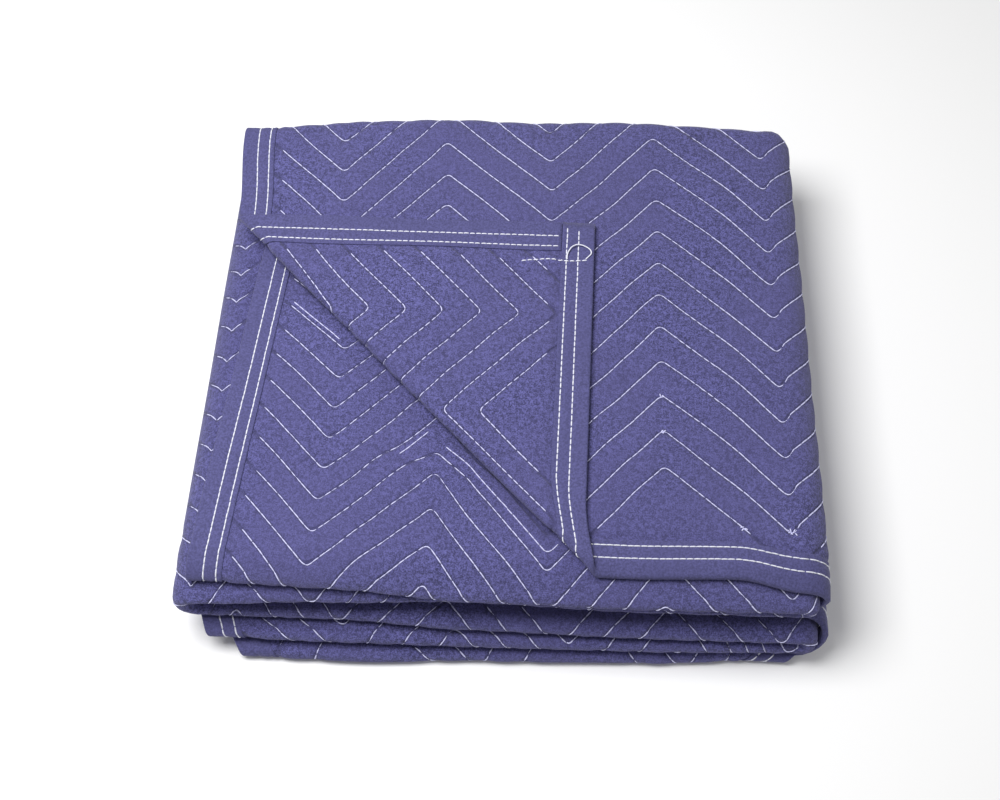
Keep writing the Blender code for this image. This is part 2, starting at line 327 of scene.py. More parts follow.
def settle(x, y, z):
    """The stack slopes down at its front and lies a little uneven. The floor stays flat."""
    slope = smooth((y - FRONT_SLOPE[0]) / (FRONT_SLOPE[1] - FRONT_SLOPE[0]))
    share = np.clip(z / TOP_LEVEL, 0, 1.2)
    lift = smooth((y - LIFT_SLOPE[0]) / (LIFT_SLOPE[1] - LIFT_SLOPE[0]))
    wave = np.sin(2 * math.pi * x / WAVE_LENGTH + 0.8) * np.cos(2 * math.pi * y / WAVE_LENGTH)
    soft = share * share
    top = TOP_LEVEL + PITCH
    raised = z + PITCH * lift * (TOP_LEVEL - z) / top
    z = raised - z * FRONT_PRESS * slope * share + WAVE * soft * wave
    x = x * (1 + SPREAD * (0.5 - y / DEPTH))
    return x - STACK_MIDDLE[0], y - STACK_MIDDLE[1], z


def folded(flat):
    """Places in the stack of flat points (u, v, w)."""
    a, v, w = np.asarray(flat, dtype=float).T
    turned_a, turned_v, rise, turned = turn_corner(a, v, w)
    y, height, skew, creep = across(a, v, w)
    edge = fold_lines(turned_a)[0]
    y = np.where(turned, edge + turned_v, y)
    height = np.where(turned, PITCH + rise, height)
    skew = np.where(turned, LEAN, skew)
    x, z = along(np.where(turned, turned_a, a), height, skew, creep)
    return np.column_stack(settle(x, y, z))


# The quilting


def loop_swing(u, v):
    """How much further the rows rise round the left loop, in the middle third."""
    places, shares = np.array(LOOP_SWING).T
    height = 55 * MM + 0.025 * (v - 560 * MM)
    third = smooth((v - 300 * MM) / (140 * MM)) * (1 - smooth((v - 890 * MM) / (150 * MM)))
    return height * third * np.interp(u - RUN_STARTS[2] + TURN_LENGTH, places * MM, shares)


def row_rise(u, v):
    """How far the rows rise. Their tips are a little rounded, and one is lower inside."""
    near = [np.interp(u + d * MM, COLUMN_STATIONS, COLUMN_RISES) for d in (-3, -1, 1, 3)]
    end = smooth((COLUMN_STATIONS[1] - u) / (12 * MM) + 0.5)
    fall = 1 - INNER_FALL * end * smooth((v - 690 * MM) / (200 * MM))
    return sum(near) / len(near) * fall + loop_swing(u, v)


def sway(u, v):
    """The rows of stitches wander a little from their lines."""
    slow = np.sin(u / (19 * MM) + v / (27 * MM))
    return 0.55 * MM * slow + 0.3 * MM * np.sin(u / (7.3 * MM) + v / (15 * MM))


def drift(u, v):
    """How much nearer the front edge the rows run, over the back left and at one dip."""
    side = np.clip(1 - (u - 92 * MM) / (190 * MM), 0, 1)
    reach = smooth((v - 200 * MM) / (120 * MM)) * (1 - smooth((v - 560 * MM) / (200 * MM)))
    dip = smooth((v - 972 * MM) / (18 * MM)) * (1 - smooth((v - 992 * MM) / (45 * MM)))
    dip = dip * np.clip(1 - np.abs(u - 183 * MM) / (75 * MM), 0, 1)
    return DRIFT * side * reach + DIP * dip


def row_place(u, v):
    """A whole number on each row of stitches."""
    place = v + drift(u, v) - row_rise(u, v) - sway(u, v)
    before = (place - ROW_PLACES[0]) / (ROW_PLACES[1] - ROW_PLACES[0]) * ROW_NUMBERS[1]
    within = np.interp(place, ROW_PLACES, ROW_NUMBERS)
    return np.where(place < ROW_PLACES[0], np.maximum(before, -0.5), within)


def row_line(row, u):
    """Where a row runs across the width, at stations u."""
    start = np.interp(row, ROW_NUMBERS, ROW_PLACES)
    v = start + 0 * u
    for _ in range(40):
        v = (v + start + row_rise(u, v) - drift(u, v) + sway(u, v)) / 2
    return v


def cloth_half(u, v, puff):
    """Half the panel's thickness: drawn in on the rows and under a binding."""
    inside = np.minimum(np.minimum(u, v), np.minimum(LENGTH - u, WIDTH - v))
    share = smooth((inside - MARGIN) / SHOULDER)
    place = row_place(u, v)
    off = 2 * np.abs(place - np.round(place))
    pad = CLOTH / 2 - puff * 0.55 + puff * (1 - (1 - off) ** 2)
    return EDGE_CLOTH / 2 + share * (pad - EDGE_CLOTH / 2)


# Making meshes


def spread(start, end, step):
    """Even places from after start to end, about a step apart."""
    return list(np.linspace(start, end, max(1, round((end - start) / step)) + 1)[1:])


def columns(step):
    stops = [0, 9 * MM, 18 * MM, MARGIN, MARGIN + SHOULDER / 2, MARGIN + SHOULDER]
    for run, factor in enumerate((1, 1.7, 1.7, 1.6)):
        if run == 3:
            stops += spread(stops[-1], RUN_STARTS[3] + UNDER_STARTS[1], 4 * MM)
        last = RUN_STARTS[run] + RUN_LENGTHS[run] - (MARGIN + SHOULDER if run == 3 else 0)
        stops += spread(stops[-1], last, step * factor)
        if run < 3:
            stops += spread(last, last + TURN_LENGTH, TURN_LENGTH / 10)
    stops += [LENGTH - MARGIN - SHOULDER / 2, LENGTH - MARGIN, LENGTH]
    for turn in COLUMN_STATIONS[1:-1]:
        nearest = min(range(len(stops)), key=lambda k: abs(stops[k] - turn))
        stops[nearest] = turn
    return np.array(stops)


def rows(u, step):
    """Flat places of the mesh's lines at station u. There are as many at every station."""
    outer, low, nose, rise = (float(x) for x in fold_stops(u))
    under = float(margin_under(u))
    start = max(under, MARGIN + SHOULDER + 4 * MM)
    near = 66 * MM
    last = WIDTH - MARGIN - SHOULDER
    count = round(0.37 / step)
    curl = max(under - math.pi * PITCH / 2, MARGIN + SHOULDER / 2)
    parts = (
        np.linspace(0, MARGIN, 7),
        np.linspace(curl, start, 7),
        np.linspace(start, outer - 10 * MM, count)[1:],
        [outer],
        np.linspace(outer, low, 9)[1:],
        np.linspace(low, nose - near, round(count / 5))[1:],
        np.linspace(nose - near, nose, 11)[1:],
        np.linspace(nose, rise, 9)[1:],
        np.linspace(rise, rise + near, 11)[1:],
        np.linspace(rise + near, last, round(count / 1.7))[1:],
        [WIDTH - MARGIN - SHOULDER / 2, WIDTH - MARGIN, WIDTH],
    )
    return np.concatenate(parts)


def cut_where_it_rolls(mesh):
    """Cuts the flat mesh along the strips where the corner and the front margin roll over."""
    for step in range(9):
        depth = math.pi * ROLL * step / 8
        reach = CORNER - depth * math.sqrt(2)
        faces = []
        for face in mesh.faces:
            sums = [vert.co.x + vert.co.y for vert in face.verts]
            if min(sums) < reach < max(sums):
                faces.append(face)
        edges = {edge for face in faces for edge in face.edges}
        verts = {vert for face in faces for vert in face.verts}
        bmesh.ops.bisect_plane(
            mesh,
            geom=faces + list(edges) + list(verts),
            dist=0.00002,
            plane_co=(reach / 2, reach / 2, 0),
            plane_no=(1, 1, 0),
        )
    slope = UNDER / (UNDER_STARTS[1] - UNDER_STARTS[0])
    begins, ends = (RUN_STARTS[3] + place for place in UNDER_STARTS)
    for step in range(9):
        faces = []
        for face in mesh.faces:
            u = [vert.co.x for vert in face.verts]
            if max(u) > begins and min(u) < ends and face.verts[0].co.y < 1.2 * UNDER:
                faces.append(face)
        edges = {edge for face in faces for edge in face.edges}
        verts = {vert for face in faces for vert in face.verts}
        late = math.pi * PITCH / 2 * step / 8 / slope
        bmesh.ops.bisect_plane(
            mesh,
            geom=faces + list(edges) + list(verts),
            dist=0.00002,
            plane_co=(begins + late, 0, 0),
            plane_no=(slope, -1, 0),
        )
    bmesh.ops.triangulate(mesh, faces=mesh.faces[:])


def deselect_all():
    for thing in bpy.context.view_layer.objects:
        thing.select_set(False)


def fold_into_piece(name, mesh, uv_of, materials):
    """Folds the flat mesh, gives it a UV map of its flat places and links it."""
    bmesh.ops.recalc_face_normals(mesh, faces=mesh.faces[:])
    data = bpy.data.meshes.new(name)
    mesh.to_mesh(data)
    mesh.free()
    flat = np.empty(len(data.vertices) * 3)
    data.vertices.foreach_get("co", flat)
    flat = flat.reshape(-1, 3)
    data.vertices.foreach_set("co", folded(flat).ravel())
    corners = np.empty(len(data.loops), dtype=np.int64)
    data.loops.foreach_get("vertex_index", corners)
    layer = data.uv_layers.new(name="flat")
    layer.data.foreach_set("uv", uv_of(flat)[corners].ravel())
    data.update()
    for material in materials:
        data.materials.append(material)
    data.polygons.foreach_set("use_smooth", [True] * len(data.polygons))
    piece = bpy.data.objects.new(name, data)
    bpy.context.scene.collection.objects.link(piece)
    return piece


def grid_faces(mesh, grid, turned):
    for line, following in zip(grid, grid[1:]):
        for j in range(len(line) - 1):
            a, b, c, d = line[j], following[j], following[j + 1], line[j + 1]
            mesh.faces.new((a, d, c, b) if turned else (a, b, c, d))


def build_panel(settings):
    mesh = bmesh.new()
    step = settings.mesh_step
    stations = columns(step)
    lines = np.array([rows(u, step) for u in stations])
    u = np.repeat(stations[:, None], lines.shape[1], axis=1)
    half = cloth_half(u, lines, settings.puff)
    sides = []
    for sign in (1, -1):
        points = np.stack([u, lines, sign * half], axis=-1)
        sides.append([[mesh.verts.new(point) for point in line] for line in points])
    top, bottom = sides
    grid_faces(mesh, top, False)
    grid_faces(mesh, bottom, True)
    last = len(top) - 1
    for i in range(last):
        for j in (0, len(top[0]) - 1):
            mesh.faces.new((top[i][j], bottom[i][j], bottom[i + 1][j], top[i + 1][j]))
    for i in (0, last):
        for j in range(len(top[0]) - 1):
            mesh.faces.new((top[i][j], bottom[i][j], bottom[i][j + 1], top[i][j + 1]))
    cut_where_it_rolls(mesh)
    panel = fold_into_piece("blanket_panel", mesh, quilt_uv, [cloth_material(settings)])
    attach(panel, "root")
    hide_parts("quilted_panel")
    return panel


def quilt_uv(flat):
    return np.column_stack([flat[:, 0], row_place(flat[:, 0], flat[:, 1])])


# The binding strips

STRIP_LINES = (12.5 * MM, 22.5 * MM)
STRIP_PLACES = (27, 26.7, 25.8, 24.6, 23.5, 22.5, 21.5, 19.8, 17.6, 15.4)
STRIP_PLACES += (13.6, 12.5, 11.4, 9.4, 7, 4.6, 2.6, 1.1, 0)


def strip_swell(d):
    """How far a strip's face stands off its seams, from 0 to 1."""
    swell = 1.0
    for line in STRIP_LINES:
        swell = min(swell, 1 - math.exp(-(((d - line) / (2.2 * MM)) ** 2)))
    edge = min(1, max(0, (BINDING_WIDTH - d) / (1.4 * MM)))
    return swell * (0.35 + 0.65 * math.sqrt(edge))


def strip_section():
    """The strip's U-section, as (distance in from the blanket's edge, height)."""
    inner = EDGE_CLOTH / 2 + CLEARANCE * 0.6
    low = inner + BINDING_CLOTH * 0.45
    high = inner + BINDING_CLOTH + CLEARANCE * 0.4
    outside = [(d * MM, low + (high - low) * strip_swell(d * MM)) for d in STRIP_PLACES]
    bulge = -CLEARANCE - BINDING_CLOTH
    outside += [(bulge * 0.6, high * 0.86), (bulge, high * 0.45)]
    inside = [(d * MM, inner) for d in (27, 22, 16, 10, 5)] + [(-CLEARANCE, inner)]
    section = outside + [(d, -h) for d, h in reversed(outside)]
    section += [(d, -h) for d, h in inside] + inside[::-1]
    return np.array(section)


def build_strip(name, node, flat_points, lengthwise, material):
    """flat_points(d) gives the strip's line at distance d in from the blanket's edge."""
    mesh = bmesh.new()
    section = strip_section()
    lines = [flat_points(d) for d, _ in section]
    rings = []
    for step in range(len(lines[0])):
        ring = [
            mesh.verts.new((*line[step], height)) for line, (_, height) in zip(lines, section)
        ]
        rings.append(ring)
    for ring, following in zip(rings, rings[1:]):
        for k in range(len(section)):
            n = (k + 1) % len(section)
            mesh.faces.new((ring[k], ring[n], following[n], following[k]))
    mesh.faces.new(rings[0])
    mesh.faces.new(rings[-1][::-1])
    cut_where_it_rolls(mesh)

    def uv_of(flat):
        u, v = flat[:, 0], flat[:, 1]
        if lengthwise:
            return np.column_stack([u, np.minimum(v, WIDTH - v)])
        return np.column_stack([v, np.minimum(u, LENGTH - u)])

    strip = fold_into_piece(name, mesh, uv_of, [material])
    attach(strip, "root")
    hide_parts(node)
    return strip


def build_strips(settings):
    material = binding_material(settings)
    step = settings.mesh_step
    stations = columns(step)
    end = CLEARANCE + BINDING_CLOTH
    long_stops = stations.copy()
    long_stops[0] -= end
    long_stops[-1] += end
    steps = len(rows(0, step))

    def front(d):
        return [(u, d) for u in long_stops]

    def back(d):
        return [(u, WIDTH - d) for u in long_stops]

    def cross(u):
        line = np.clip(rows(u, step), MARGIN, WIDTH - MARGIN)
        return [(u, v) for v in line[6 : steps - 1]]

    def left(d):
        return cross(d)

    def right(d):
        return cross(LENGTH - d)

    return [
        build_strip("front_edge_binding", "binding_front", front, True, material),
        build_strip("back_edge_binding", "binding_back", back, True, material),
        build_strip("left_end_binding", "binding_left", left, False, material),
        build_strip("right_end_binding", "binding_right", right, False, material),
    ]


# Threads

# How much of the pitch a stitch covers on the upper face, and how far it strays
TOP_SHARE = 0.99
WANDER = 0.06 * MM

# How far a quilting stitch arches off the upper (1) and the lower (-1) face
STITCH_ARCH = {
    1: np.array([0.14, 0.2, 0.24, 0.2, 0.14]) * MM,
    -1: np.array([0.06, 0.18, 0.24, 0.18, 0.06]) * MM,
}

# A loose end of thread on the turned corner, as flat places and heights above the binding
LOOSE_THREAD = (
    (36, 22, 0.2),
    (31, 22, 1.4),
    (25, 19, 2.2),
    (22, 14, 2.2),
    (23, 8, 1.9),
    (27, 2, 1.6),
    (31, 1, 1.4),
    (34, 4, 1.0),
    (36, 6, 0.3),
)

# Short second runs of stitching beside a row, on the second ply
SECOND_RUNS = (
    # row, where it starts and ends along the length, how far off the row it starts and ends
    (31, 183, 284, 9.5, 13),
    (37, 34, 90, 5, 5),
    (32, 148, 172, -8, -7),
)

# One row runs under the roll of the turned corner there, on the second ply
HIDDEN_ROW = 32
HIDDEN_AT = 240 * MM
HIDDEN_REACH = 58 * MM

# Thread ends at turns of the rows on the top ply
THREAD_ENDS = (
    # run, x, row, offset across the width, ends
    (0, 127, 1, 0, 3),
    (0, 127, 2, 0, 3),
    (0, 186, 0, 0, 3),
    (0, 224, 1, 0, 7),
)


def thread_piece(name, stitches, radius, material):
    """One joined mesh of stitches. Each is a row of flat points, laid on the cloth."""
    count, rings = stitches.shape[:2]
    places = folded(stitches.reshape(-1, 3)).reshape(count, rings, 3)
    lifted = stitches.copy()
    lifted[..., 2] += np.sign(lifted[..., 2]) * 0.4 * MM
    out = folded(lifted.reshape(-1, 3)).reshape(count, rings, 3) - places
    out /= np.linalg.norm(out, axis=-1, keepdims=True) + 1e-12
    ahead = np.gradient(places, axis=1)
    ahead /= np.linalg.norm(ahead, axis=-1, keepdims=True) + 1e-12
    aside = np.cross(ahead, out)
    aside /= np.linalg.norm(aside, axis=-1, keepdims=True) + 1e-12
    swell = np.sin(np.linspace(0.5, math.pi - 0.5, rings))[None, :, None] ** 0.4 * radius
    aside, out = aside * swell, out * swell
    ring = np.stack([places + aside, places + out, places - aside, places - out], axis=2)
    verts = ring.reshape(-1, 3)
    faces = []
    for r in range(rings - 1):
        for k in range(4):
            n = (k + 1) % 4
            faces.append((4 * r + k, 4 * r + n, 4 * r + 4 + n, 4 * r + 4 + k))
    ends = [(3, 2, 1, 0), tuple(4 * (rings - 1) + k for k in range(4))]
    template = np.array(faces + ends)
    offsets = np.arange(count)[:, None, None] * 4 * rings
    all_faces = (template[None] + offsets).reshape(-1, 4)
    mesh = bpy.data.meshes.new(name)
    mesh.from_pydata(verts.tolist(), [], all_faces.tolist())
    check = bmesh.new()
    check.from_mesh(mesh)
    bmesh.ops.recalc_face_normals(check, faces=check.faces[:])
    check.to_mesh(mesh)
    check.free()
    mesh.polygons.foreach_set("use_smooth", [True] * len(mesh.polygons))
    mesh.materials.append(material)
    piece = bpy.data.objects.new(name, mesh)
    bpy.context.scene.collection.objects.link(piece)
    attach(piece, "root")
    return piece


def stitched(path, pitch, share, rng, wander):
    """Stitches along a flat path [(u, v)], a pitch apart and share of it long."""
    path = np.asarray(path)
    lengths = np.concatenate([[0], np.cumsum(np.linalg.norm(np.diff(path, axis=0), axis=1))])
    if lengths[-1] < pitch:
        return np.empty((0, 5, 2))
    starts = np.arange(rng.uniform(0, pitch), lengths[-1] - pitch * share, pitch)
    starts = starts + rng.uniform(-0.06, 0.06, len(starts)) * pitch
    marks = starts[:, None] + np.linspace(0, pitch * share, 5)[None]
    points = np.stack([np.interp(marks, lengths, path[:, k]) for k in range(2)], axis=-1)
    return points + rng.normal(0, wander, (len(points), 1, 2))


def thread_run(path, piece):
    """An unbroken thread along a flat path [(u, v, w)], as pieces that overlap."""
    along_path = np.concatenate([[0], np.cumsum(np.linalg.norm(np.diff(path, axis=0), axis=1))])
    count = max(2, round(along_path[-1] / piece))
    starts = np.linspace(0, along_path[-1] - piece, count)
    marks = starts[:, None] + np.linspace(0, piece * 1.2, 5)[None]
    knots = np.linspace(0, 1, len(path))
    share = np.interp(marks, along_path, knots)
    # A soft curve through the points
    fine = np.linspace(0, 1, 121)
    curve = np.stack([np.interp(fine, knots, path[:, k]) for k in range(3)], axis=-1)
    for _ in range(40):
        curve[1:-1] = (curve[:-2] + 2 * curve[1:-1] + curve[2:]) / 4
    return np.stack([np.interp(share, fine, curve[:, k]) for k in range(3)], axis=-1)


def tufts(settings, rng):
    """Thread ends that stand out at a few turns of the rows."""
    made = []
    for run, x, row, rise, count in THREAD_ENDS:
        u = station(run, x * MM)
        v = float(row_line(row, np.array(u))) + rise * MM
        face = float(cloth_half(np.array(u), np.array(v), settings.puff))
        for _ in range(count):
            turn = rng.uniform(0, 2 * math.pi)
            reach = rng.uniform(1.6, 3.4) * MM
            t = np.linspace(0, 1, 5)
            out = np.sin(t * 2.2) * rng.uniform(0.5, 1.4) * MM
            du = rng.uniform(-2.5, 2.5) * MM
            aside, ahead = math.cos(turn) * reach, math.sin(turn) * reach
            line = [u + du + t * aside, v + t * ahead, face + out]
            made.append(np.stack(line, axis=-1)[None])
    return made


def shown_from_outside(u, v, side):
    """Whether a place on the cloth's upper (+1) or lower (-1) face can be seen."""
    outer, low, nose, rise = fold_stops(u)
    turned = u + v < CORNER - 8 * MM
    flap = u + v < CORNER + 3 * MM
    run = np.searchsorted(np.array(RUN_STARTS), u, side="right") - 1
    first_turn = (u > RUN_STARTS[1] - TURN_LENGTH - 2 * MM) & (u < RUN_STARTS[1] + 6 * MM)
    loop = (u > RUN_STARTS[2] - TURN_LENGTH - 16 * MM) & (u < RUN_STARTS[2] + 16 * MM)
    last_turn = (u > RUN_STARTS[3] - TURN_LENGTH - 8 * MM) & (u < RUN_STARTS[3])
    outer_ply = v < outer
    back = (v >= outer - 12 * MM) & (v <= low + 12 * MM)
    front = (v >= nose - 24 * MM) & (v <= rise + 24 * MM)
    corner_bed = (run == 0) & (v > rise) & (u < CORNER + 14 * MM)
    corner_bed &= v - rise < CORNER + 12 * MM
    upper = (outer_ply & (run == 0) & ~turned) | (outer_ply & (run == 3))
    upper |= outer_ply & (first_turn | last_turn)
    upper |= back | front | corner_bed
    upper |= loop & (v > low - 4 * MM) & (v < nose)
    lower = outer_ply & flap & (run == 0)
    lower |= (run == 3) & (v < margin_under(u) + 30 * MM)
    return np.where(side > 0, upper, lower)


def quilting_paths(row):
    """The row's flat path along the whole length, in the parts that lie inside the bindings."""
    inset = MARGIN + 5 * MM
    u = np.sort(np.concatenate([np.arange(inset, LENGTH - inset, 2 * MM), COLUMN_STATIONS]))
    u = u[(u >= inset) & (u <= LENGTH - inset)]
    v = row_line(row, u)
    inside = (v > inset) & (v < WIDTH - inset)
    parts = np.split(np.column_stack([u, v]), np.where(np.diff(inside))[0] + 1)
    return [part for part in parts if inset < part[0][1] < WIDTH - inset and len(part) > 3]


def build_quilting(settings):
    rng = np.random.default_rng(7)
    made = []
    for row in range(int(ROW_NUMBERS[-1])):
        for path in quilting_paths(row):
            for side in (1, -1):
                share = TOP_SHARE if side > 0 else 0.89
                marks = stitched(path, settings.stitch_length, share, rng, WANDER)
                middle = marks[:, 2]
                keep = shown_from_outside(middle[:, 0], middle[:, 1], side)
                if row == HIDDEN_ROW:
                    keep &= np.abs(middle[:, 0] - HIDDEN_AT) > HIDDEN_REACH
                marks = marks[keep]
                if not len(marks):
                    continue
                lift = side * cloth_half(marks[..., 0], marks[..., 1], settings.puff)
                made.append(np.dstack([marks, lift + STITCH_ARCH[side] * side]))
    for row, start, end, first, last in SECOND_RUNS:
        u = np.linspace(start, end, 60) * MM
        beside = row_line(row, u) + np.linspace(first, last, 60) * MM
        path = np.column_stack([u, beside])
        marks = stitched(path, settings.stitch_length, TOP_SHARE, rng, WANDER)
        face = cloth_half(marks[..., 0], marks[..., 1], settings.puff)
        made.append(np.dstack([marks, face + 0.15 * MM]))
    made += tufts(settings, np.random.default_rng(3))
    stitches = np.concatenate(made)
    material = thread_material("quilting_thread", settings.thread_colour)
    return thread_piece("quilting_stitches", stitches, settings.thread_width / 2, material)


def build_seams(settings):
    """The double rows that hold the bindings."""
    rng = np.random.default_rng(11)
    made = []
    inner = EDGE_CLOTH / 2 + CLEARANCE * 0.6
    low = inner + BINDING_CLOTH * 0.45
    for d in STRIP_LINES:
        long_u = np.arange(2 * MM, LENGTH, 2 * MM)
        cross_v = np.arange(BINDING_WIDTH + 2 * MM, WIDTH - BINDING_WIDTH, 2 * MM)
        paths = (
            np.column_stack([long_u, np.full(len(long_u), d)]),
            np.column_stack([long_u, np.full(len(long_u), WIDTH - d)]),
            np.column_stack([np.full(len(cross_v), d), cross_v]),
            np.column_stack([np.full(len(cross_v), LENGTH - d), cross_v]),
        )
        for path in paths:
            for side in (1, -1):
                share = TOP_SHARE if side > 0 else 0.86
                marks = stitched(path, settings.seam_stitch, share, rng, WANDER)
                tucked = (marks[:, 2, 0] > LENGTH - MARGIN) & (marks[:, 2, 1] < UNDER + 30 * MM)
                marks = marks[~tucked]
                arch = np.array([0, 0.2, 0.28, 0.2, 0]) * MM * side
                lift = np.full(marks.shape[:2], side * low) + arch
                made.append(np.dstack([marks, lift]))
    # A third row was run across the turned corner, over the binding and into the cloth
    short_v = np.arange(1 * MM, 62 * MM, 2 * MM)
    short_u = 36 * MM + 0.03 * short_v + 1.2 * MM * np.sin(short_v / (9 * MM))
    path = np.column_stack([short_u, short_v])
    marks = stitched(path, settings.seam_stitch, 0.8, rng, 0.1 * MM)
    face = cloth_half(marks[..., 0], marks[..., 1], settings.puff)
    face = np.where(marks[..., 1] < BINDING_WIDTH, inner + BINDING_CLOTH, face)
    arch = np.array([-0.2, 0.2, 0.3, 0.2, -0.2]) * MM
    made.append(np.dstack([marks, -face - arch]))
    loop = np.array(LOOSE_THREAD) * MM
    loop[:, 2] = -loop[:, 2] - inner - BINDING_CLOTH
    made.append(thread_run(loop, 1.4 * MM))
    stitches = np.concatenate(made)
    places = folded(stitches[:, 2])
    stitches = stitches[places[:, 2] > 0.3 * MM]
    material = thread_material("seam_thread", settings.seam_colour)
    return thread_piece("binding_stitches", stitches, settings.seam_width / 2, material)


# Materials


def new_material(name):
    material = bpy.data.materials.new(name)
    material.use_nodes = True
    tree = material.node_tree
    return material, tree, tree.nodes["Principled BSDF"]


def math_node(tree, operation, first, second=None, clamp=False):
    node = tree.nodes.new("ShaderNodeMath")
    node.operation = operation
    node.use_clamp = clamp
    for socket, value in zip(node.inputs, (first, second)):
        if value is None:
            continue
        if isinstance(value, (int, float)):
            socket.default_value = value
        else:
            tree.links.new(value, socket)
    return node.outputs[0]


def noise_node(tree, vector, scale, detail=3.0, roughness=0.55):
    node = tree.nodes.new("ShaderNodeTexNoise")
    node.inputs["Scale"].default_value = scale
    node.inputs["Detail"].default_value = detail
    node.inputs["Roughness"].default_value = roughness
    tree.links.new(vector, node.inputs["Vector"])
    return node.outputs["Fac"]


def mapped(tree, value, low, high, to_low=0.0, to_high=1.0):
    node = tree.nodes.new("ShaderNodeMapRange")
    node.interpolation_type = "SMOOTHSTEP"
    node.inputs["From Min"].default_value = low
    node.inputs["From Max"].default_value = high
    node.inputs["To Min"].default_value = to_low
    node.inputs["To Max"].default_value = to_high
    tree.links.new(value, node.inputs["Value"])
    return node.outputs["Result"]


def mixed(tree, share, first, second, blend="MIX"):
    node = tree.nodes.new("ShaderNodeMix")
    node.data_type = "RGBA"
    node.blend_type = blend
    for name, value in (("Factor_Float", share), ("A_Color", first), ("B_Color", second)):
        socket = next(s for s in node.inputs if s.identifier == name)
        if isinstance(value, (int, float, tuple)):
            socket.default_value = value
        else:
            tree.links.new(value, socket)
    return next(s for s in node.outputs if s.identifier == "Result_Color")


def shade(colour, factor):
    return tuple(min(1, c * factor) for c in colour[:3]) + (1.0,)


def bump(tree, shader, height, distance):
    node = tree.nodes.new("ShaderNodeBump")
    node.inputs["Strength"].default_value = 1
    node.inputs["Distance"].default_value = distance
    tree.links.new(height, node.inputs["Height"])
    tree.links.new(node.outputs["Normal"], shader.inputs["Normal"])


def cloth_material(settings):
    """Felted cloth of mixed fibres, drawn in along the rows of stitches, with painted shade in
    the grooves beside the rows.
    """
    material, tree, shader = new_material("quilted_felt_cloth")
    place = tree.nodes.new("ShaderNodeTexCoord").outputs["Object"]
    uv = tree.nodes.new("ShaderNodeUVMap")
    uv.uv_map = "flat"
    apart = tree.nodes.new("ShaderNodeSeparateXYZ")
    tree.links.new(uv.outputs["UV"], apart.inputs[0])
    off = math_node(tree, "PINGPONG", apart.outputs["Y"], 0.5)
    groove = mapped(tree, off, 0.0, 0.1)
    fine = noise_node(tree, place, 900, 4, 0.75)
    mid = noise_node(tree, place, 330, 3, 0.6)
    broad = noise_node(tree, place, 9, 2, 0.5)
    fine = math_node(tree, "MULTIPLY", fine, 0.7)
    fibres = math_node(tree, "ADD", fine, math_node(tree, "MULTIPLY", mid, 0.3))
    share = mapped(tree, fibres, 0.4, 0.62)
    base = settings.cloth_colour
    colour = mixed(tree, share, shade(base, 0.42), shade(base, 1.75))
    tint = mapped(tree, broad, 0.3, 0.7, 0.0, 0.5)
    colour = mixed(tree, tint, colour, shade((base[0] * 1.04, base[1], base[2] * 0.97), 1.0))
    # Painted shade: the cloth colour is darkened in the grooves beside each row of stitches,
    # where shade falls.
    painted_groove_shade = mapped(tree, off, 0.02, 0.11, 0.5, 0.0)
    colour = mixed(tree, painted_groove_shade, colour, shade(base, 0.45))
    tree.links.new(colour, shader.inputs["Base Color"])
    shader.inputs["Roughness"].default_value = 0.96
    shader.inputs["Sheen Weight"].default_value = 0.12
    shader.inputs["Sheen Roughness"].default_value = 0.6
    shader.inputs["Specular IOR Level"].default_value = 0.2
    fuzz = math_node(tree, "MULTIPLY", fibres, 0.45)
    height = math_node(tree, "ADD", math_node(tree, "MULTIPLY", groove, 0.8), fuzz)
    soft = noise_node(tree, place, 42, 3, 0.6)
    height = math_node(tree, "ADD", height, math_node(tree, "MULTIPLY", soft, 1.6))
    bump(tree, shader, height, 0.0011)
    return material


def binding_material(settings):
    """Closely woven tape, puckered along its two seams."""
    material, tree, shader = new_material("woven_binding_tape")
    place = tree.nodes.new("ShaderNodeTexCoord").outputs["Object"]
    uv = tree.nodes.new("ShaderNodeUVMap")
    uv.uv_map = "flat"
    apart = tree.nodes.new("ShaderNodeSeparateXYZ")
    tree.links.new(uv.outputs["UV"], apart.inputs[0])
    stretched = tree.nodes.new("ShaderNodeMapping")
    stretched.inputs["Scale"].default_value = (1, 0.22, 1)
    tree.links.new(uv.outputs["UV"], stretched.inputs["Vector"])
    puckers = noise_node(tree, stretched.outputs[0], 160, 2, 0.5)
    weave = noise_node(tree, place, 620, 3, 0.6)
    broad = noise_node(tree, place, 24, 2, 0.5)
    base = settings.binding_colour
    share = mapped(tree, weave, 0.3, 0.7)
    colour = mixed(tree, share, shade(base, 0.7), shade(base, 1.3))
    tint = mapped(tree, broad, 0.3, 0.7, 0.0, 0.35)
    colour = mixed(tree, tint, colour, shade(base, 0.9))
    tree.links.new(colour, shader.inputs["Base Color"])
    shader.inputs["Roughness"].default_value = 0.85
    shader.inputs["Sheen Weight"].default_value = 0.1
    shader.inputs["Specular IOR Level"].default_value = 0.3
    puckers = math_node(tree, "MULTIPLY", puckers, 0.8)
    height = math_node(tree, "ADD", puckers, math_node(tree, "MULTIPLY", weave, 0.12))
    bump(tree, shader, height, 0.0012)
    return material


def thread_material(name, colour):
    material, tree, shader = new_material(name)
    place = tree.nodes.new("ShaderNodeTexCoord").outputs["Object"]
    ply = noise_node(tree, place, 1500, 2, 0.5)
    share = mapped(tree, ply, 0.35, 0.65)
    twisted = mixed(tree, share, shade(colour, 0.82), shade(colour, 1.05))
    tree.links.new(twisted, shader.inputs["Base Color"])
    shader.inputs["Roughness"].default_value = 0.6
    return material


def floor_material(colour):
    material, _, shader = new_material("plain_pale_floor")
    shader.inputs["Base Color"].default_value = (*colour, 1)
    shader.inputs["Roughness"].default_value = 0.9
    shader.inputs["Specular IOR Level"].default_value = 0.1
    return material


# The add-on


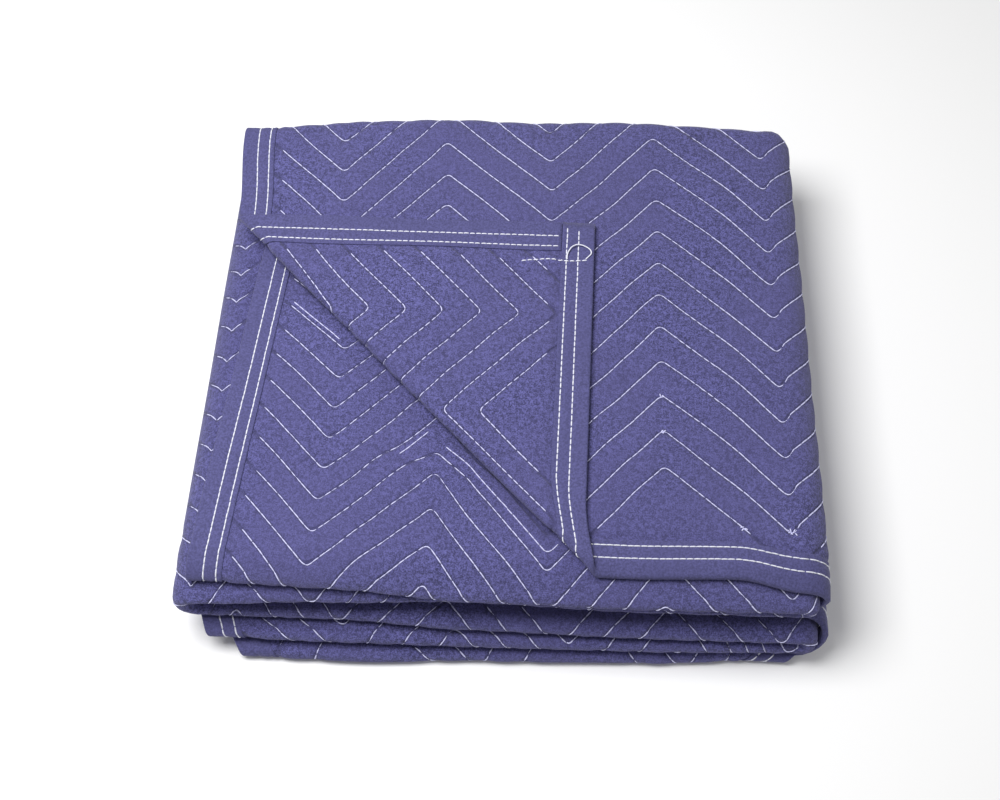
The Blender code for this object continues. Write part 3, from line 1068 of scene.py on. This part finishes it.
class BlanketSettings(bpy.types.PropertyGroup):
    mesh_step: FloatProperty(
        name="Mesh step",
        description="Distance between the panel's mesh lines on its top ply",
        default=0.0054,
        min=0.003,
        max=0.02,
        unit="LENGTH",
    )
    puff: FloatProperty(
        name="Puff",
        description="How far the cloth stands up between rows of stitches, on each face",
        default=0.0012,
        min=0,
        max=0.003,
        unit="LENGTH",
    )
    stitch_length: FloatProperty(
        name="Quilting stitch",
        description="Distance from one quilting stitch to the next",
        default=0.0063,
        min=0.003,
        max=0.02,
        unit="LENGTH",
    )
    thread_width: FloatProperty(
        name="Quilting thread",
        description="Width of the quilting thread",
        default=0.0012,
        min=0.0003,
        max=0.003,
        unit="LENGTH",
    )
    seam_stitch: FloatProperty(
        name="Seam stitch",
        description="Distance from one stitch to the next in the bindings' double seams",
        default=0.0052,
        min=0.002,
        max=0.02,
        unit="LENGTH",
    )
    seam_width: FloatProperty(
        name="Seam thread",
        description="Width of the thread in the bindings' double seams",
        default=0.0013,
        min=0.0003,
        max=0.003,
        unit="LENGTH",
    )
    cloth_colour: FloatVectorProperty(
        name="Cloth",
        description="Colour of the quilted cloth",
        default=(0.079, 0.077, 0.212),
        min=0,
        max=1,
        subtype="COLOR",
    )
    binding_colour: FloatVectorProperty(
        name="Binding",
        description="Colour of the binding tape",
        default=(0.078, 0.076, 0.2),
        min=0,
        max=1,
        subtype="COLOR",
    )
    thread_colour: FloatVectorProperty(
        name="Quilting thread colour",
        description="Colour of the quilting thread",
        default=(0.66, 0.66, 0.95),
        min=0,
        max=1,
        subtype="COLOR",
    )
    seam_colour: FloatVectorProperty(
        name="Seam thread colour",
        description="Colour of the bindings' thread",
        default=(0.85, 0.86, 0.98),
        min=0,
        max=1,
        subtype="COLOR",
    )


class StudioSettings(bpy.types.PropertyGroup):
    floor_colour: FloatVectorProperty(
        name="Floor",
        description="Colour of the plain floor",
        default=(0.95, 0.95, 0.95),
        min=0,
        max=1,
        subtype="COLOR",
    )
    sky_strength: FloatProperty(
        name="Fill light",
        description="Strength of the even light from all round",
        default=0.3,
        min=0,
        max=10,
    )
    key_power: FloatProperty(
        name="Main light",
        description="Power of the large soft light above",
        default=20.2,
        min=0,
        max=2000,
        unit="POWER",
    )


class BLANKET_OT_panel(bpy.types.Operator):
    """Make the quilted panel and fold it"""

    bl_idname = "blanket.panel"
    bl_label = "Quilted panel"

    def execute(self, context):
        build_panel(context.scene.blanket)
        return {"FINISHED"}


class BLANKET_OT_bindings(bpy.types.Operator):
    """Make the four binding strips on the folded panel's edges"""

    bl_idname = "blanket.bindings"
    bl_label = "Bindings"

    def execute(self, context):
        build_strips(context.scene.blanket)
        return {"FINISHED"}


class BLANKET_OT_threads(bpy.types.Operator):
    """Make the quilting stitches and the bindings' double seams"""

    bl_idname = "blanket.threads"
    bl_label = "Stitches"

    def execute(self, context):
        build_quilting(context.scene.blanket)
        build_seams(context.scene.blanket)
        return {"FINISHED"}


class BLANKET_OT_declare(bpy.types.Operator):
    """Does nothing: it returns at once and leaves every piece as it is"""

    bl_idname = "blanket.declare"
    bl_label = "Cloth sizes"

    def execute(self, context):
        return {"FINISHED"}


class BLANKET_OT_stage(bpy.types.Operator):
    """Make the floor, the lights and the camera"""

    bl_idname = "blanket.stage"
    bl_label = "Stage"

    def execute(self, context):
        studio = context.scene.blanket_studio
        deselect_all()
        bpy.ops.mesh.primitive_plane_add(size=14, location=(0, 0, -0.0004))
        floor = context.object
        floor.name = "studio_floor"
        floor.data.materials.append(floor_material(studio.floor_colour))
        world = bpy.data.worlds.new("studio_fill")
        world.use_nodes = True
        sky = world.node_tree.nodes["Background"]
        sky.inputs["Color"].default_value = (1, 1, 1, 1)
        sky.inputs["Strength"].default_value = studio.sky_strength
        context.scene.world = world
        context.scene.view_settings.view_transform = "Standard"
        lights = (
            # name, place, size, share of the main power, turn in degrees
            ("main_light", (-0.5, 0.0, 1.3), 0.7, 1.01, (0, -19, 0)),
            ("side_light", (2.2, 0.2, 1.7), 1.6, 0.5, (-5, 52, 0)),
        )
        for name, where, size, share, turned in lights:
            bpy.ops.object.light_add(type="AREA", location=where)
            light = context.object
            light.name = name
            light.rotation_euler = [math.radians(angle) for angle in turned]
            light.data.size = size
            light.data.energy = studio.key_power * share
        left, back = STACK_MIDDLE
        bpy.ops.object.camera_add(location=(0.0182 - left, -0.371 - back, 1.0706))
        camera = context.object
        camera.name = "main_camera"
        camera.rotation_euler = (math.radians(27.9), 0, math.radians(2.1))
        camera.data.sensor_width = 36
        camera.data.lens = 49.4
        context.scene.camera = camera
        return {"FINISHED"}


class BLANKET_PT_sidebar(bpy.types.Panel):
    """The blanket's sizes, colours and pieces"""

    bl_idname = "BLANKET_PT_sidebar"
    bl_label = "Moving blanket"
    bl_space_type = "VIEW_3D"
    bl_region_type = "UI"
    bl_category = "Blanket"

    def draw(self, context):
        for group in (context.scene.blanket, context.scene.blanket_studio):
            for name in group.bl_rna.properties.keys():
                if name not in ("rna_type", "name"):
                    self.layout.prop(group, name)
        for operator in OPERATORS:
            self.layout.operator(operator.bl_idname)


OPERATORS = (
    BLANKET_OT_panel,
    BLANKET_OT_bindings,
    BLANKET_OT_threads,
    BLANKET_OT_declare,
    BLANKET_OT_stage,
)
CLASSES = (BlanketSettings, StudioSettings, *OPERATORS, BLANKET_PT_sidebar)


def register():
    for made in CLASSES:
        bpy.utils.register_class(made)
    bpy.types.Scene.blanket = PointerProperty(type=BlanketSettings)
    bpy.types.Scene.blanket_studio = PointerProperty(type=StudioSettings)


def unregister():
    del bpy.types.Scene.blanket_studio
    del bpy.types.Scene.blanket
    for made in reversed(CLASSES):
        bpy.utils.unregister_class(made)


def main():
    register()
    for operator in OPERATORS:
        package, name = operator.bl_idname.split(".")
        getattr(getattr(bpy.ops, package), name)()


if __name__ == "__main__":
    main()
